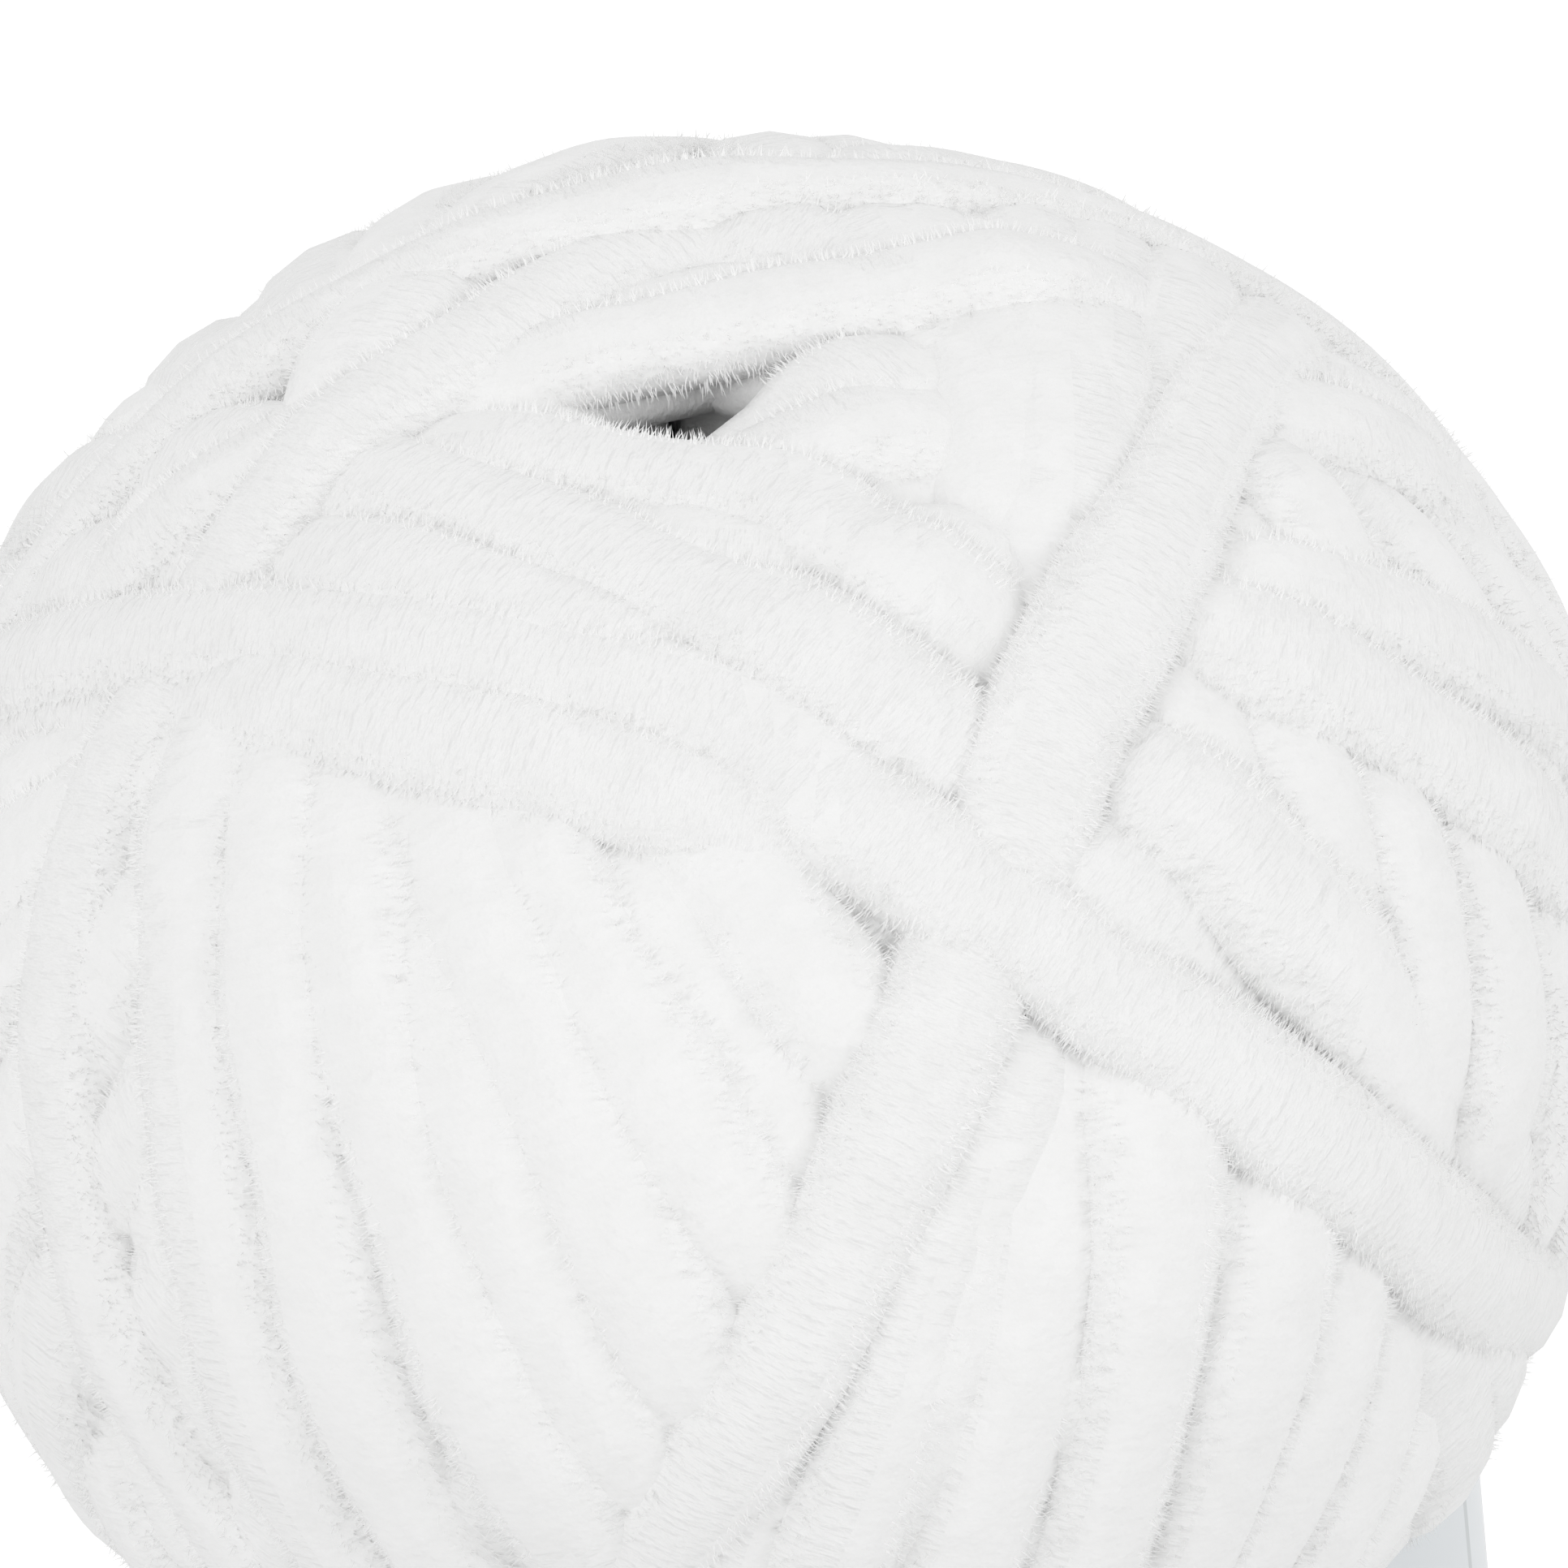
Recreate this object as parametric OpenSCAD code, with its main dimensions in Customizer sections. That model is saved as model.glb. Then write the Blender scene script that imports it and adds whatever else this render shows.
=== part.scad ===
// Centre-pull ball of thick velvet (chenille) yarn, machine-wound, held by a paper label band.
// Millimetres. The ball's axis is +Z, and z = 0 is the ring of yarn that it stands on.
// The yarn is one length: each winding below is a lay of it, put on over the one before.

/* [Ball] */
// Length of the ball along its axis
ball_h = 184; // [176:1:200]
// Width across each bulge at its widest circle
bulge_d = 98; // [92:1:106]
// Height of a bulge's widest circle above the middle of the ball
bulge_z = 54; // [50:1:58]
// How squarely a bulge turns in to the waist: 2 is an ellipse, more is fuller
bulge_fullness = 2.2; // [2:0.1:3]
// Width of the waist that the label band squeezes in
waist_d = 74; // [70:1:80]
// Outer width of the flat ring of piled-up yarn round each mouth of the hole
rest_ring_d = 40; // [32:1:46]

/* [Pull hole] */
// Width of the hole that the winding spindle leaves along the axis
hole_d = 12; // [10:1:16]
// Radius of the rounded mouth at each end of the hole
mouth_round = 4; // [3:0.5:5]

/* [Inner lays] */
// Width of the first lay, wound straight onto the spindle
inner_d = 40; // [36:1:44]
// Length of the first lay
inner_h = 154; // [146:1:158]
// Width of the second lay
middle_d = 62; // [56:1:62]
// Length of the second lay
middle_h = 168; // [162:1:170]

/* [Yarn] */
// Width of one strand, pile and all
strand_d = 5.5; // [5:0.1:6]
// Width of the two twisted threads at the strand's heart
core_d = 1; // [0.8:0.1:1.4]
// Length of bare core thread at a cut end
core_bare = 4; // [3:0.5:6]
// Height of the strand's inner end above the base of the ball, down inside the hole
pull_end_top = 166; // [155:1:168]
// Length of the inner end that pulls out
pull_end_len = 80; // [70:1:100]
// Length of the outer end that is tucked under the label band
outer_end_len = 36; // [24:1:36]
// How far the band flattens the tucked end
tuck_squeeze = 0.8; // [0.6:0.1:1.2]
// Direction of the tucked end, round from +X
tuck_angle = 115; // [60:1:170]

/* [Label band] */
// Height of the paper band
band_h = 44; // [40:1:50]
// Thickness of the paper
paper_t = 0.3; // [0.2:0.05:0.4]
// Clear gap between the yarn and the band
band_gap = 0.3; // [0.3:0.05:0.5]
// Angle over which the strip's end laps over its start
lap_angle = 26; // [20:1:40]
// Thickness of the glue line in the lap
glue_t = 0.1; // [0.1:0.05:0.2]
// Angle that the glue line covers
glue_angle = 9; // [6:1:12]
// Direction of the lap, round from +X
lap_from = 319; // [0:1:350]

/* [Hidden] */
$fn = 96;

yarn_white = [0.95, 0.95, 0.95];
thread_white = [0.90, 0.90, 0.88];
label_grey = [0.84, 0.86, 0.87];
glue_clear = [0.93, 0.92, 0.86];

half_h = ball_h / 2;
bulge_r = bulge_d / 2;
waist_r = waist_d / 2;
hole_r = hole_d / 2;
rest_r = rest_ring_d / 2;
strand_r = strand_d / 2;
lay_power = 3;                              // roundness of the ends of the inner lays
tuck_z = band_h / 2 + 0.6;                  // the waist runs just past the band's edges
wall_gap = 0.5;                             // from the inner end to the side of the hole
thin = 0.01;                                // overrun that makes cuts clean
dome_h = (half_h - bulge_z) / sqrt(1 - pow(rest_r / bulge_r, 2));
dome_start = acos(rest_r / bulge_r);        // where the dome leaves the flat ring
band_r = waist_r + band_gap;                // inner face of the paper
lap_r = band_r + paper_t + glue_t;          // inner face of the lapped end
step_angle = 2;                             // the fold that lifts the strip onto its start
outer_end_r = waist_r - strand_r + tuck_squeeze;

// Outline points are [radius, height above the middle of the ball].
function upside_down(points) =
    [for (i = [len(points) - 1 : -1 : 0]) [points[i][0], -points[i][1]]];

// One mouth of the hole: from its side, round onto the flat ring.
function mouth(steps = 6) =
    [for (i = [0 : steps])
        let (a = 90 * i / steps)
        [hole_r + mouth_round * (1 - cos(a)), half_h - mouth_round * (1 - sin(a))]];

// The dome: from the flat ring down to the widest circle.
function dome(steps = 14) =
    [for (i = [0 : steps])
        let (a = dome_start * (1 - i / steps))
        [bulge_r * cos(a), bulge_z + dome_h * sin(a)]];

// The underside of the bulge: from the widest circle in to the waist.
function underside(steps = 12) =
    [for (i = [1 : steps])
        let (a = 90 * i / steps, drop = pow(sin(a), 2 / bulge_fullness))
        [waist_r + (bulge_r - waist_r) * pow(cos(a), 2 / bulge_fullness),
         bulge_z - (bulge_z - tuck_z) * drop]];

// A lay's outer side, from its upper end at the hole to its lower end.
function lay_outline(width, length, steps = 10) =
    let (end = acos(pow(hole_d / width, lay_power / 2)),
         upper = [for (i = [0 : steps])
             let (a = end * (1 - i / steps))
             [width / 2 * pow(cos(a), 2 / lay_power), length / 2 * pow(sin(a), 2 / lay_power)]])
    concat(upper, upside_down([for (i = [0 : steps - 1]) upper[i]]));

ball_outline =
    let (upper = concat(mouth(), dome(), underside()))
    concat(upper, upside_down(upper));
inner_outline = lay_outline(inner_d, inner_h);
middle_outline = lay_outline(middle_d, middle_h);

function reversed(points) = [for (i = [len(points) - 1 : -1 : 0]) points[i]];

// Turns an outline round the axis, with the ball's middle at half its height.
module turned(outline) {
    translate([0, 0, half_h]) rotate_extrude() polygon(outline);
}

// Part of a ring about the axis, in the label band.
module arc_strip(radius, thickness, height, from, angle) {
    translate([0, 0, half_h - height / 2])
        rotate([0, 0, from])
            rotate_extrude(angle = angle)
                translate([radius, 0]) square([thickness, height]);
}

// The end under the band, flattened flush with the waist.
module tucked_end_shape() {
    intersection() {
        rotate([0, 0, tuck_angle])
            translate([outer_end_r, 0, half_h - outer_end_len / 2])
                cylinder(h = outer_end_len, r = strand_r);
        cylinder(h = ball_h, r = waist_r);
    }
}

// Its bare core thread, which runs on downwards from the cut.
module tucked_core_shape() {
    rotate([0, 0, tuck_angle])
        translate([outer_end_r - strand_r / 2, 0, half_h - outer_end_len / 2 - core_bare])
            cylinder(h = core_bare, d = core_d, $fn = 32);
}

module inner_winding() {
    color(yarn_white) turned(inner_outline);
}

module middle_winding() {
    color(yarn_white) turned(concat(middle_outline, reversed(inner_outline)));
}

module outer_winding() {
    color(yarn_white)
        difference() {
            turned(concat(ball_outline, reversed(middle_outline)));
            tucked_end_shape();
            tucked_core_shape();
        }
}

module outer_end() {
    color(yarn_white) tucked_end_shape();
}

module outer_end_core() {
    color(thread_white) tucked_core_shape();
}

// The inner end stands against one side of the hole, out of sight below the mouth.
module pull_end() {
    color(yarn_white)
        translate([-(hole_r - strand_r - wall_gap), 0, pull_end_top - pull_end_len])
            cylinder(h = pull_end_len, r = strand_r, $fn = 48);
}

module pull_end_core() {
    color(thread_white)
        translate([-(hole_r - strand_r - wall_gap), 0, pull_end_top])
            cylinder(h = core_bare, d = core_d, $fn = 32);
}

// One strip of paper: right round, up a small fold, and over its own start.
module label_band() {
    color(label_grey)
        union() {
            arc_strip(band_r, paper_t, band_h, 0, 360);
            arc_strip(band_r + paper_t - thin, glue_t + 2 * thin, band_h, lap_from, step_angle);
            arc_strip(lap_r, paper_t, band_h, lap_from, lap_angle);
        }
}

module label_glue() {
    color(glue_clear)
        arc_strip(band_r + paper_t, glue_t, band_h - 4, lap_from + lap_angle - glue_angle - 1,
                  glue_angle);
}

inner_winding();
middle_winding();
outer_winding();
outer_end();
outer_end_core();
pull_end();
pull_end_core();
label_band();
label_glue();
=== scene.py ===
import math

import bpy
import numpy as np
from mathutils import Matrix, Vector


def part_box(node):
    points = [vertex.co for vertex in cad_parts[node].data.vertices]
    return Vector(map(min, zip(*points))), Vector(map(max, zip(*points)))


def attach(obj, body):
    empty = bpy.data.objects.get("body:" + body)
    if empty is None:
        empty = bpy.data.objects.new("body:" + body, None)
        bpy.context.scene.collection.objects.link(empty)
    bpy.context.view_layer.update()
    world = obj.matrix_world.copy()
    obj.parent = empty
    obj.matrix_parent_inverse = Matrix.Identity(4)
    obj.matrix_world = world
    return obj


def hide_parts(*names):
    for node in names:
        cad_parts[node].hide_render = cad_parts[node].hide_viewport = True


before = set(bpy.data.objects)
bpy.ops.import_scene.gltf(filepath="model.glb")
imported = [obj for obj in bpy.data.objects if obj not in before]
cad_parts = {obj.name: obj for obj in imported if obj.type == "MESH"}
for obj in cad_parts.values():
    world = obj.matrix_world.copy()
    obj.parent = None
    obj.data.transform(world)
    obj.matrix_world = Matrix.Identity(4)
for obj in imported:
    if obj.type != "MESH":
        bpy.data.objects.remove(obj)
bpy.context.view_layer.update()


# ---- Camera, room and light --------------------------------------------------------------------
# A long lens looks down on the upper bulge, tipped a little so that the ball leans to the left.
# The white sweep and the soft, nearly even light are those of a product table.

ball_low, ball_high = (np.array(corner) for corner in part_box("outer_winding"))
band_low, band_high = (np.array(corner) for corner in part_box("label_band"))
middle_height = (ball_low[2] + ball_high[2]) / 2
bulge_height = 0.054                    # widest circle of a bulge, above the middle of the ball
bulge_centre = Vector((0, 0, middle_height + bulge_height))

view_down = math.radians(39.2)
view_tip = math.radians(-7.15)
view_distance = 0.80
aim_right = 0.0016                      # the bulge's centre stands this far left of the frame's
aim_up = 0.0079                         # and this far below it

to_camera = Vector((0, -math.cos(view_down), math.sin(view_down)))
level_right = Vector((1, 0, 0))
level_up = to_camera.cross(level_right)
tipped_right = level_right * math.cos(view_tip) + level_up * math.sin(view_tip)
tipped_up = level_up * math.cos(view_tip) - level_right * math.sin(view_tip)
camera_place = bulge_centre + to_camera * view_distance
aim_point = bulge_centre + tipped_right * aim_right + tipped_up * aim_up
backward = (camera_place - aim_point).normalized()
camera_right = tipped_up.cross(backward).normalized()
camera_up = backward.cross(camera_right)

lens = bpy.data.cameras.new("long_lens")
lens.lens = 329                         # millimetres, so there is hardly any perspective
lens.sensor_width = 36
lens.clip_end = 20
camera = bpy.data.objects.new("camera", lens)
turned = Matrix((camera_right, camera_up, backward)).transposed().to_4x4()
camera.matrix_world = Matrix.Translation(camera_place) @ turned
bpy.context.collection.objects.link(camera)
bpy.context.scene.camera = camera
bpy.context.scene.view_settings.view_transform = "Standard"


def soft_lamp(name, place, size, power):
    """A square softbox that faces the upper bulge."""
    light = bpy.data.lights.new(name, "AREA")
    light.size = size
    light.energy = power
    lamp = bpy.data.objects.new(name, light)
    lamp.location = place
    lamp.rotation_euler = (bulge_centre - Vector(place)).to_track_quat("-Z", "Y").to_euler()
    bpy.context.collection.objects.link(lamp)


soft_lamp("softbox_left", (-0.55, -0.55, 0.75), 0.5, 1.7)
soft_lamp("softbox_right", (0.75, -0.40, 0.50), 0.5, 1.3)
soft_lamp("softbox_behind", (0.1, 0.8, 0.7), 0.6, 0.6)


def worked_out(tree, operation, *values):
    """The result of a Math node, whose values are sockets to link or plain numbers."""
    maths = tree.nodes.new("ShaderNodeMath")
    maths.operation = operation
    for socket, value in zip(maths.inputs, values):
        if isinstance(value, bpy.types.NodeSocket):
            tree.links.new(value, socket)
        else:
            socket.default_value = value
    return maths.outputs[0]


def white_where_seen(tree, strength_seen, strength_when_lighting):
    """A strength of white: one to the eye, in reflections and through glass, another as a light."""
    path = tree.nodes.new("ShaderNodeLightPath")
    seen = path.outputs["Is Camera Ray"]
    for other_way in ("Is Glossy Ray", "Is Transmission Ray"):
        seen = worked_out(tree, "MAXIMUM", seen, path.outputs[other_way])
    strength = tree.nodes.new("ShaderNodeMapRange")
    strength.inputs["To Min"].default_value = strength_when_lighting
    strength.inputs["To Max"].default_value = strength_seen
    tree.links.new(seen, strength.inputs["Value"])
    return strength.outputs["Result"]


room = bpy.data.worlds.new("white_room")
room.use_nodes = True
bpy.context.scene.world = room
backdrop = room.node_tree.nodes["Background"]
backdrop.inputs["Color"].default_value = (1, 1, 1, 1)
room.node_tree.links.new(white_where_seen(room.node_tree, 1.0, 0.75),
                         backdrop.inputs["Strength"])

sweep_half = 6.0
sweep_mesh = bpy.data.meshes.new("white_sweep")
sweep_mesh.from_pydata([(-sweep_half, -sweep_half, 0), (sweep_half, -sweep_half, 0),
                        (sweep_half, sweep_half, 0), (-sweep_half, sweep_half, 0)],
                       [], [(0, 1, 2, 3)])
sweep = bpy.data.objects.new("white_sweep", sweep_mesh)
bpy.context.collection.objects.link(sweep)
sweep_white = bpy.data.materials.new("white_table")
sweep_white.use_nodes = True
sweep_surface = sweep_white.node_tree.nodes["Principled BSDF"]
sweep_surface.inputs["Base Color"].default_value = (0.82, 0.82, 0.82, 1)
sweep_surface.inputs["Roughness"].default_value = 0.9
sweep_surface.inputs["Emission Color"].default_value = (1, 1, 1, 1)
sweep_white.node_tree.links.new(white_where_seen(sweep_white.node_tree, 0.37, 0.0),
                                sweep_surface.inputs["Emission Strength"])
sweep_mesh.materials.append(sweep_white)


# ---- The shape that the yarn is wound to -------------------------------------------------------
# Each place on the ball is an angle round the axis, from the front towards the right, and a
# distance along the skin from the upper mouth of the hole, down over both bulges, to the lower one.

bulge_radius = (ball_high[0] - ball_low[0]) / 2
half_height = (ball_high[2] - ball_low[2]) / 2
rest_radius = 0.020                     # outer edge of the flat ring round each mouth
waist_radius = 0.037
band_play = 0.0006                      # the bulges begin this far beyond the band's edges
waist_reach = (band_high[2] - band_low[2]) / 2 + band_play
bulge_fullness = 1.85                   # 2 would be a quarter ellipse, less is leaner
mouth_edge = 0.012                      # inside this radius the skin dips into the hole
mouth_round = 0.007                     # radius of that rounded edge
dip_share = 0.4                         # how much of a full round its depth is

dome_rise = (half_height - bulge_height) / math.sqrt(1 - (rest_radius / bulge_radius) ** 2)
dome_angle = np.linspace(math.acos(rest_radius / bulge_radius), 0, 120)
under_angle = np.linspace(0, math.pi / 2, 120)[1:]
flat_radius = np.linspace(0, rest_radius, 60)[:-1]
upper_radius = np.concatenate([
    flat_radius,
    bulge_radius * np.cos(dome_angle),
    waist_radius + (bulge_radius - waist_radius) * np.maximum(np.cos(under_angle), 0)
    ** (2 / bulge_fullness),
    [waist_radius]])
upper_height = np.concatenate([
    np.full(len(flat_radius), half_height),
    bulge_height + dome_rise * np.sin(dome_angle),
    bulge_height - (bulge_height - waist_reach) * np.sin(under_angle) ** (2 / bulge_fullness),
    [0]])
skin_radius = np.concatenate([upper_radius, upper_radius[-2::-1]])
skin_height = np.concatenate([upper_height, -upper_height[-2::-1]])
skin_way = np.concatenate([[0], np.cumsum(np.hypot(np.diff(skin_radius), np.diff(skin_height)))])
skin_length = skin_way[-1]


def radius_at(way):
    return np.interp(way, skin_way, skin_radius)


def height_at(way):
    inwards = np.clip((mouth_edge - radius_at(way)) / mouth_round, 0, 0.95)
    dip = mouth_round * (1 - np.sqrt(1 - inwards ** 2)) * dip_share
    side = np.where(way < skin_length / 2, -1, 1)
    return middle_height + np.interp(way, skin_way, skin_height) + side * dip


def outward_at(way, angle):
    """The direction straight out of the skin, eased over a few millimetres."""
    ease = 0.004
    after, before = way + ease, way - ease
    widening = radius_at(after) - radius_at(before)
    rising = np.interp(after, skin_way, skin_height) - np.interp(before, skin_way, skin_height)
    out = np.stack([-rising * np.sin(angle), rising * np.cos(angle), widening], -1)
    return out / np.linalg.norm(out, axis=-1, keepdims=True)


def skin_place(way, angle, height_above):
    """Points at a height above the skin, at a way along it and an angle round the axis."""
    ring = radius_at(way)
    on_skin = np.stack([ring * np.sin(angle), -ring * np.cos(angle), height_at(way)], -1)
    return on_skin + outward_at(way, angle) * np.asarray(height_above)[..., None]


# ---- Outer winding: the route of the yarn ------------------------------------------------------
# The flyer lays the yarn under tension, so each pass runs close to a taut line over the bulge,
# turns round the hole at some radius, and comes down the other side. A slow twist along the pass
# makes it meet the next turn. Every third turn falls next to an earlier one.

strand_width = 0.0092                   # as it takes up room in the winding
strand_thickness = 0.0048
route_step = 0.0016                     # from one point of a route to the next

# Each turn is (angle in degrees where it passes the hole, radius in millimetres), and then the
# slack of its leg down and of its leg up, where those aren't quite taut.
last_turns = [
    (30, 4.6), (136, 22), (-64, 17),
    (22, 10), (129, 20), (-72, 19),
    (13, 6.5), (121, 19), (-77, 20),
    (5, 17), (113, 17), (-84, 21),
    (-4, 20), (104, 15), (-92, 21),
    (-12, 12), (96, 16), (-99, 21),
    (-25, 6.4, 0.2), (91, 18.5), (-108, 20),
    (-35, 19), (87, 21), (-118, 20),
    (-42, 13), (80, 23, 0, 0.04), (-172, 6.8),
    (-31, 27), (74, 26), (-143, 13),
    (66, 27.5, 0.06, 0.10), (-170, 19), (-28, 22.5, 0.2),
]
cycles_before = 28                      # earlier rounds of three turns, now mostly covered
step_back = 7.5                         # degrees between one turn and its neighbour in a round
radius_choices = (15, 21, 9, 18, 25, 12, 22, 16, 8.3, 19)

earlier_turns = []
for cycle in range(cycles_before, 0, -1):
    for branch, first_angle in enumerate((35, 141, -57)):
        radius = radius_choices[(3 * cycle + 4 * branch) % len(radius_choices)]
        earlier_turns.append((first_angle + step_back * cycle, radius))
turns = earlier_turns + last_turns


def half_pass(turn_radius, slack, steps=220):
    """A taut line from its turn by the hole to the middle of the ball: ways and angles.

    The slack is the share of its turning that the strand misses on the bulge."""
    widening = slice(0, 150)            # the skin's first points, where its radius only grows
    start = np.interp(turn_radius, skin_radius[widening], skin_way[widening])
    root = np.linspace(0, math.sqrt(skin_length / 2 - start), steps)
    between = (root[1:] + root[:-1]) / 2
    ring = radius_at(start + between ** 2)
    turning = turn_radius / (ring * np.sqrt(np.maximum(ring ** 2 - turn_radius ** 2, 1e-10)))
    angle = np.concatenate([[0], np.cumsum(turning * 2 * between * np.diff(root))])
    way = start + root ** 2
    loosening, tight_again, tightening = 0.010, 0.125, 0.050
    loose = (np.clip((way - start) / loosening, 0, 1)
             * np.clip((tight_again - way) / tightening, 0, 1))
    return way, angle * (1 - slack * loose * loose * (3 - 2 * loose))


def slack_of(turn, leg):
    """The slack of a turn's leg: 0 is the leg down from it, 1 the leg up to it."""
    return turn[2 + leg] if len(turn) > 2 + leg else 0


def full_pass(upper_turn, lower_turn, sense):
    """One pass from an upper turn down to a lower one, turning in the sense +1 or -1.

    What the two taut lines miss of the way round is spread along the pass as a slow twist."""
    slack = slack_of(upper_turn, 0 if sense > 0 else 1)
    upper_way, upper_angle = half_pass(upper_turn[1] / 1000, slack)
    lower_way, lower_angle = half_pass(lower_turn[1] / 1000, 0)
    natural = upper_angle[-1] + lower_angle[-1]
    wanted = math.radians(sense * (lower_turn[0] - upper_turn[0])) % (2 * math.pi)
    missing = (wanted - natural + math.pi) % (2 * math.pi) - math.pi
    way = np.concatenate([upper_way, (skin_length - lower_way)[-2::-1]])
    angle = np.concatenate([upper_angle, natural - lower_angle[-2::-1]])
    share = (way - way[0]) / (way[-1] - way[0])
    eased = share * share * (3 - 2 * share)
    return way, math.radians(upper_turn[0]) + sense * (angle + missing * eased)


def middle_turn(before, after):
    """The lower turn between two upper ones, half way round and of middling radius."""
    gap = (after[0] - before[0]) % 360
    least_radius, most_radius = 9, 20
    radius = (before[1] + after[1]) / 2
    return before[0] + (gap + 360) / 2, min(max(radius, least_radius), most_radius)


def even_steps(way, angle, step):
    """The same route with its points at equal distances."""
    place = skin_place(way, angle, np.zeros(len(way)))
    length = np.concatenate([[0], np.cumsum(np.linalg.norm(np.diff(place, axis=0), axis=1))])
    at = np.linspace(0, length[-1], max(int(length[-1] / step), 2))
    return np.interp(at, length, way), np.interp(at, length, angle)


wraps = []
lower_turns = [middle_turn(a, b) for a, b in zip(turns, turns[1:] + turns[:1])]
for number, turn in enumerate(turns):
    came_from = lower_turns[number - 1]
    up_way, up_angle = full_pass(turn, came_from, -1)
    down_way, down_angle = full_pass(turn, lower_turns[number], 1)
    way = np.concatenate([up_way[:0:-1], down_way])
    angle = np.concatenate([up_angle[:0:-1], down_angle])
    wraps.append(even_steps(way, angle, route_step))


# ---- Outer winding: how the passes pile up -----------------------------------------------------
# Each pass is laid on those below it, bridges the small hollows because it is taut, and squeezes
# what it crosses. The pile is kept as a height over a grid of places on the skin. Its relief is
# then pressed down, so that in the end strands cut into one another where they cross.

column_count = 360
grid_step = 0.001
row_count = int(skin_length / grid_step) + 1
row_way = np.arange(row_count) * grid_step
row_radius = radius_at(row_way)
row_height = np.interp(row_way, skin_way, skin_height)
squeeze = 0.80                          # what a pass leaves of the height that it crosses
most_sunk = 0.0006                      # how far a taut pass may cut into what it lies on
pressing_part = 0.3                     # a pass squeezes where it is at least this full, 1 at most
settled = 0.27                          # what a strand keeps of its height over the evened pile
level_reach = 0.0065                    # ups and downs finer than this are the strands' own
reach_rows = np.arange(-4, 5)           # cells to either side that a strand can cover
reach_angles = np.arange(-44, 45)

pile = np.zeros((row_count, column_count))
squeezed = np.zeros((row_count, column_count))     # logarithm of all the squeezing that a cell has had


def eased_along(values, reach):
    """Values in a row, each evened out with its neighbours."""
    width = np.arange(-3 * reach, 3 * reach + 1)
    weight = np.exp(-0.5 * (width / reach) ** 2)
    padded = np.pad(values, 3 * reach, mode="edge")
    return np.convolve(padded, weight / weight.sum(), mode="valid")


def grid_cell(way, angle):
    """The row and the column of each point of a pass; the column counts on past a full turn."""
    row = np.clip(np.rint(way / grid_step).astype(int), 0, row_count - 1)
    return row, np.rint(np.degrees(angle)).astype(int)


def under_strand(way, angle):
    """The cells near each point of a pass, and how full the strand is over each: 1 at its middle,
    0 at its edge, and less beyond."""
    row, column = grid_cell(way, angle)
    rows = np.clip(row[:, None, None] + reach_rows[None, :, None], 0, row_count - 1)
    columns = (column[:, None, None] + reach_angles[None, None, :]) % column_count
    apart = np.radians(column[:, None, None] + reach_angles[None, None, :]) - angle[:, None, None]
    ring = radius_at(way)[:, None, None]
    height = np.interp(way, skin_way, skin_height)[:, None, None]
    gap = (row_radius[rows] ** 2 + ring ** 2 - 2 * row_radius[rows] * ring * np.cos(apart)
           + (row_height[rows] - height) ** 2)
    inside = 1 - gap / (strand_width / 2) ** 2
    rows, columns = np.broadcast_arrays(rows, columns)
    return rows, columns, inside


laid = []
for way, angle in wraps:
    rows, columns, inside = under_strand(way, angle)
    half = strand_thickness / 2 * np.sqrt(np.maximum(inside, 0))
    below = np.where(inside > 0, pile[rows, columns] + half, 0).max(axis=(1, 2))
    rest = below - strand_thickness / 2
    bridged = np.maximum(eased_along(rest, 3), rest - most_sunk)
    centre = squeeze * eased_along(bridged, 2) + strand_thickness / 2
    covered = np.zeros(pile.shape, bool)
    pressing = inside > pressing_part
    covered[rows[pressing], columns[pressing]] = True
    pile[covered] *= squeeze
    squeezed[covered] += math.log(squeeze)
    touch = inside > 0
    top = (centre[:, None, None] + half)[touch]
    np.maximum.at(pile, (rows[touch], columns[touch]), top)
    row, column = grid_cell(way, angle)
    cell = (row, column % column_count)
    laid.append((way, angle, centre, cell, squeezed[cell].copy()))


def smoothed_pile(heights, reach):
    """The pile with everything finer than the reach evened out."""
    waves_per_ring = np.fft.rfftfreq(column_count, 1 / column_count)
    least_ring = 0.004
    spread = reach / np.maximum(row_radius, least_ring)
    even = np.fft.irfft(np.fft.rfft(heights, axis=1)
                        * np.exp(-0.5 * (waves_per_ring[None, :] * spread[:, None]) ** 2),
                        n=column_count, axis=1)
    rows_reach = int(reach / grid_step)
    return np.apply_along_axis(lambda line: eased_along(line, rows_reach), 0, even)


band_edge_reach = 0.003                 # the band presses this far beyond its edges,
band_edge_ease = 0.004                  # and its pressing fades over this
band_press = 0.0007
open_depth = 0.0015                     # a strand buried deeper than this has no open side
deepest_made = 0.012                    # and deeper than this it isn't made at all
pile_level = smoothed_pile(pile, level_reach)
strands = []
for number, (way, angle, centre, cell, squeezed_then) in enumerate(laid):
    shrunk = np.exp(squeezed[cell] - squeezed_then)
    height = settled * (centre * shrunk + strand_thickness / 2 - pile_level[cell])
    height -= strand_thickness / 2
    from_middle = np.abs(way - skin_length / 2)
    under_band = np.clip((waist_reach + band_edge_reach - from_middle) / band_edge_ease, 0, 1)
    pressed = np.minimum(height, -strand_thickness / 2 - band_press)
    height = height + (pressed - height) * under_band
    buried = pile[cell] - centre * shrunk - strand_thickness / 2
    open_above = np.clip(1 - buried / open_depth, 0, 1) * (1 - under_band)
    strands.append((number, way, angle, eased_along(height, 2), open_above,
                    buried < deepest_made))


# ---- The yarn itself ---------------------------------------------------------------------------
# Chenille yarn is two twisted threads that hold a dense round pile of microfibre. A strand is
# swept along its route, a little flattened where it lies, and its open sides get their fibres.

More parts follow.
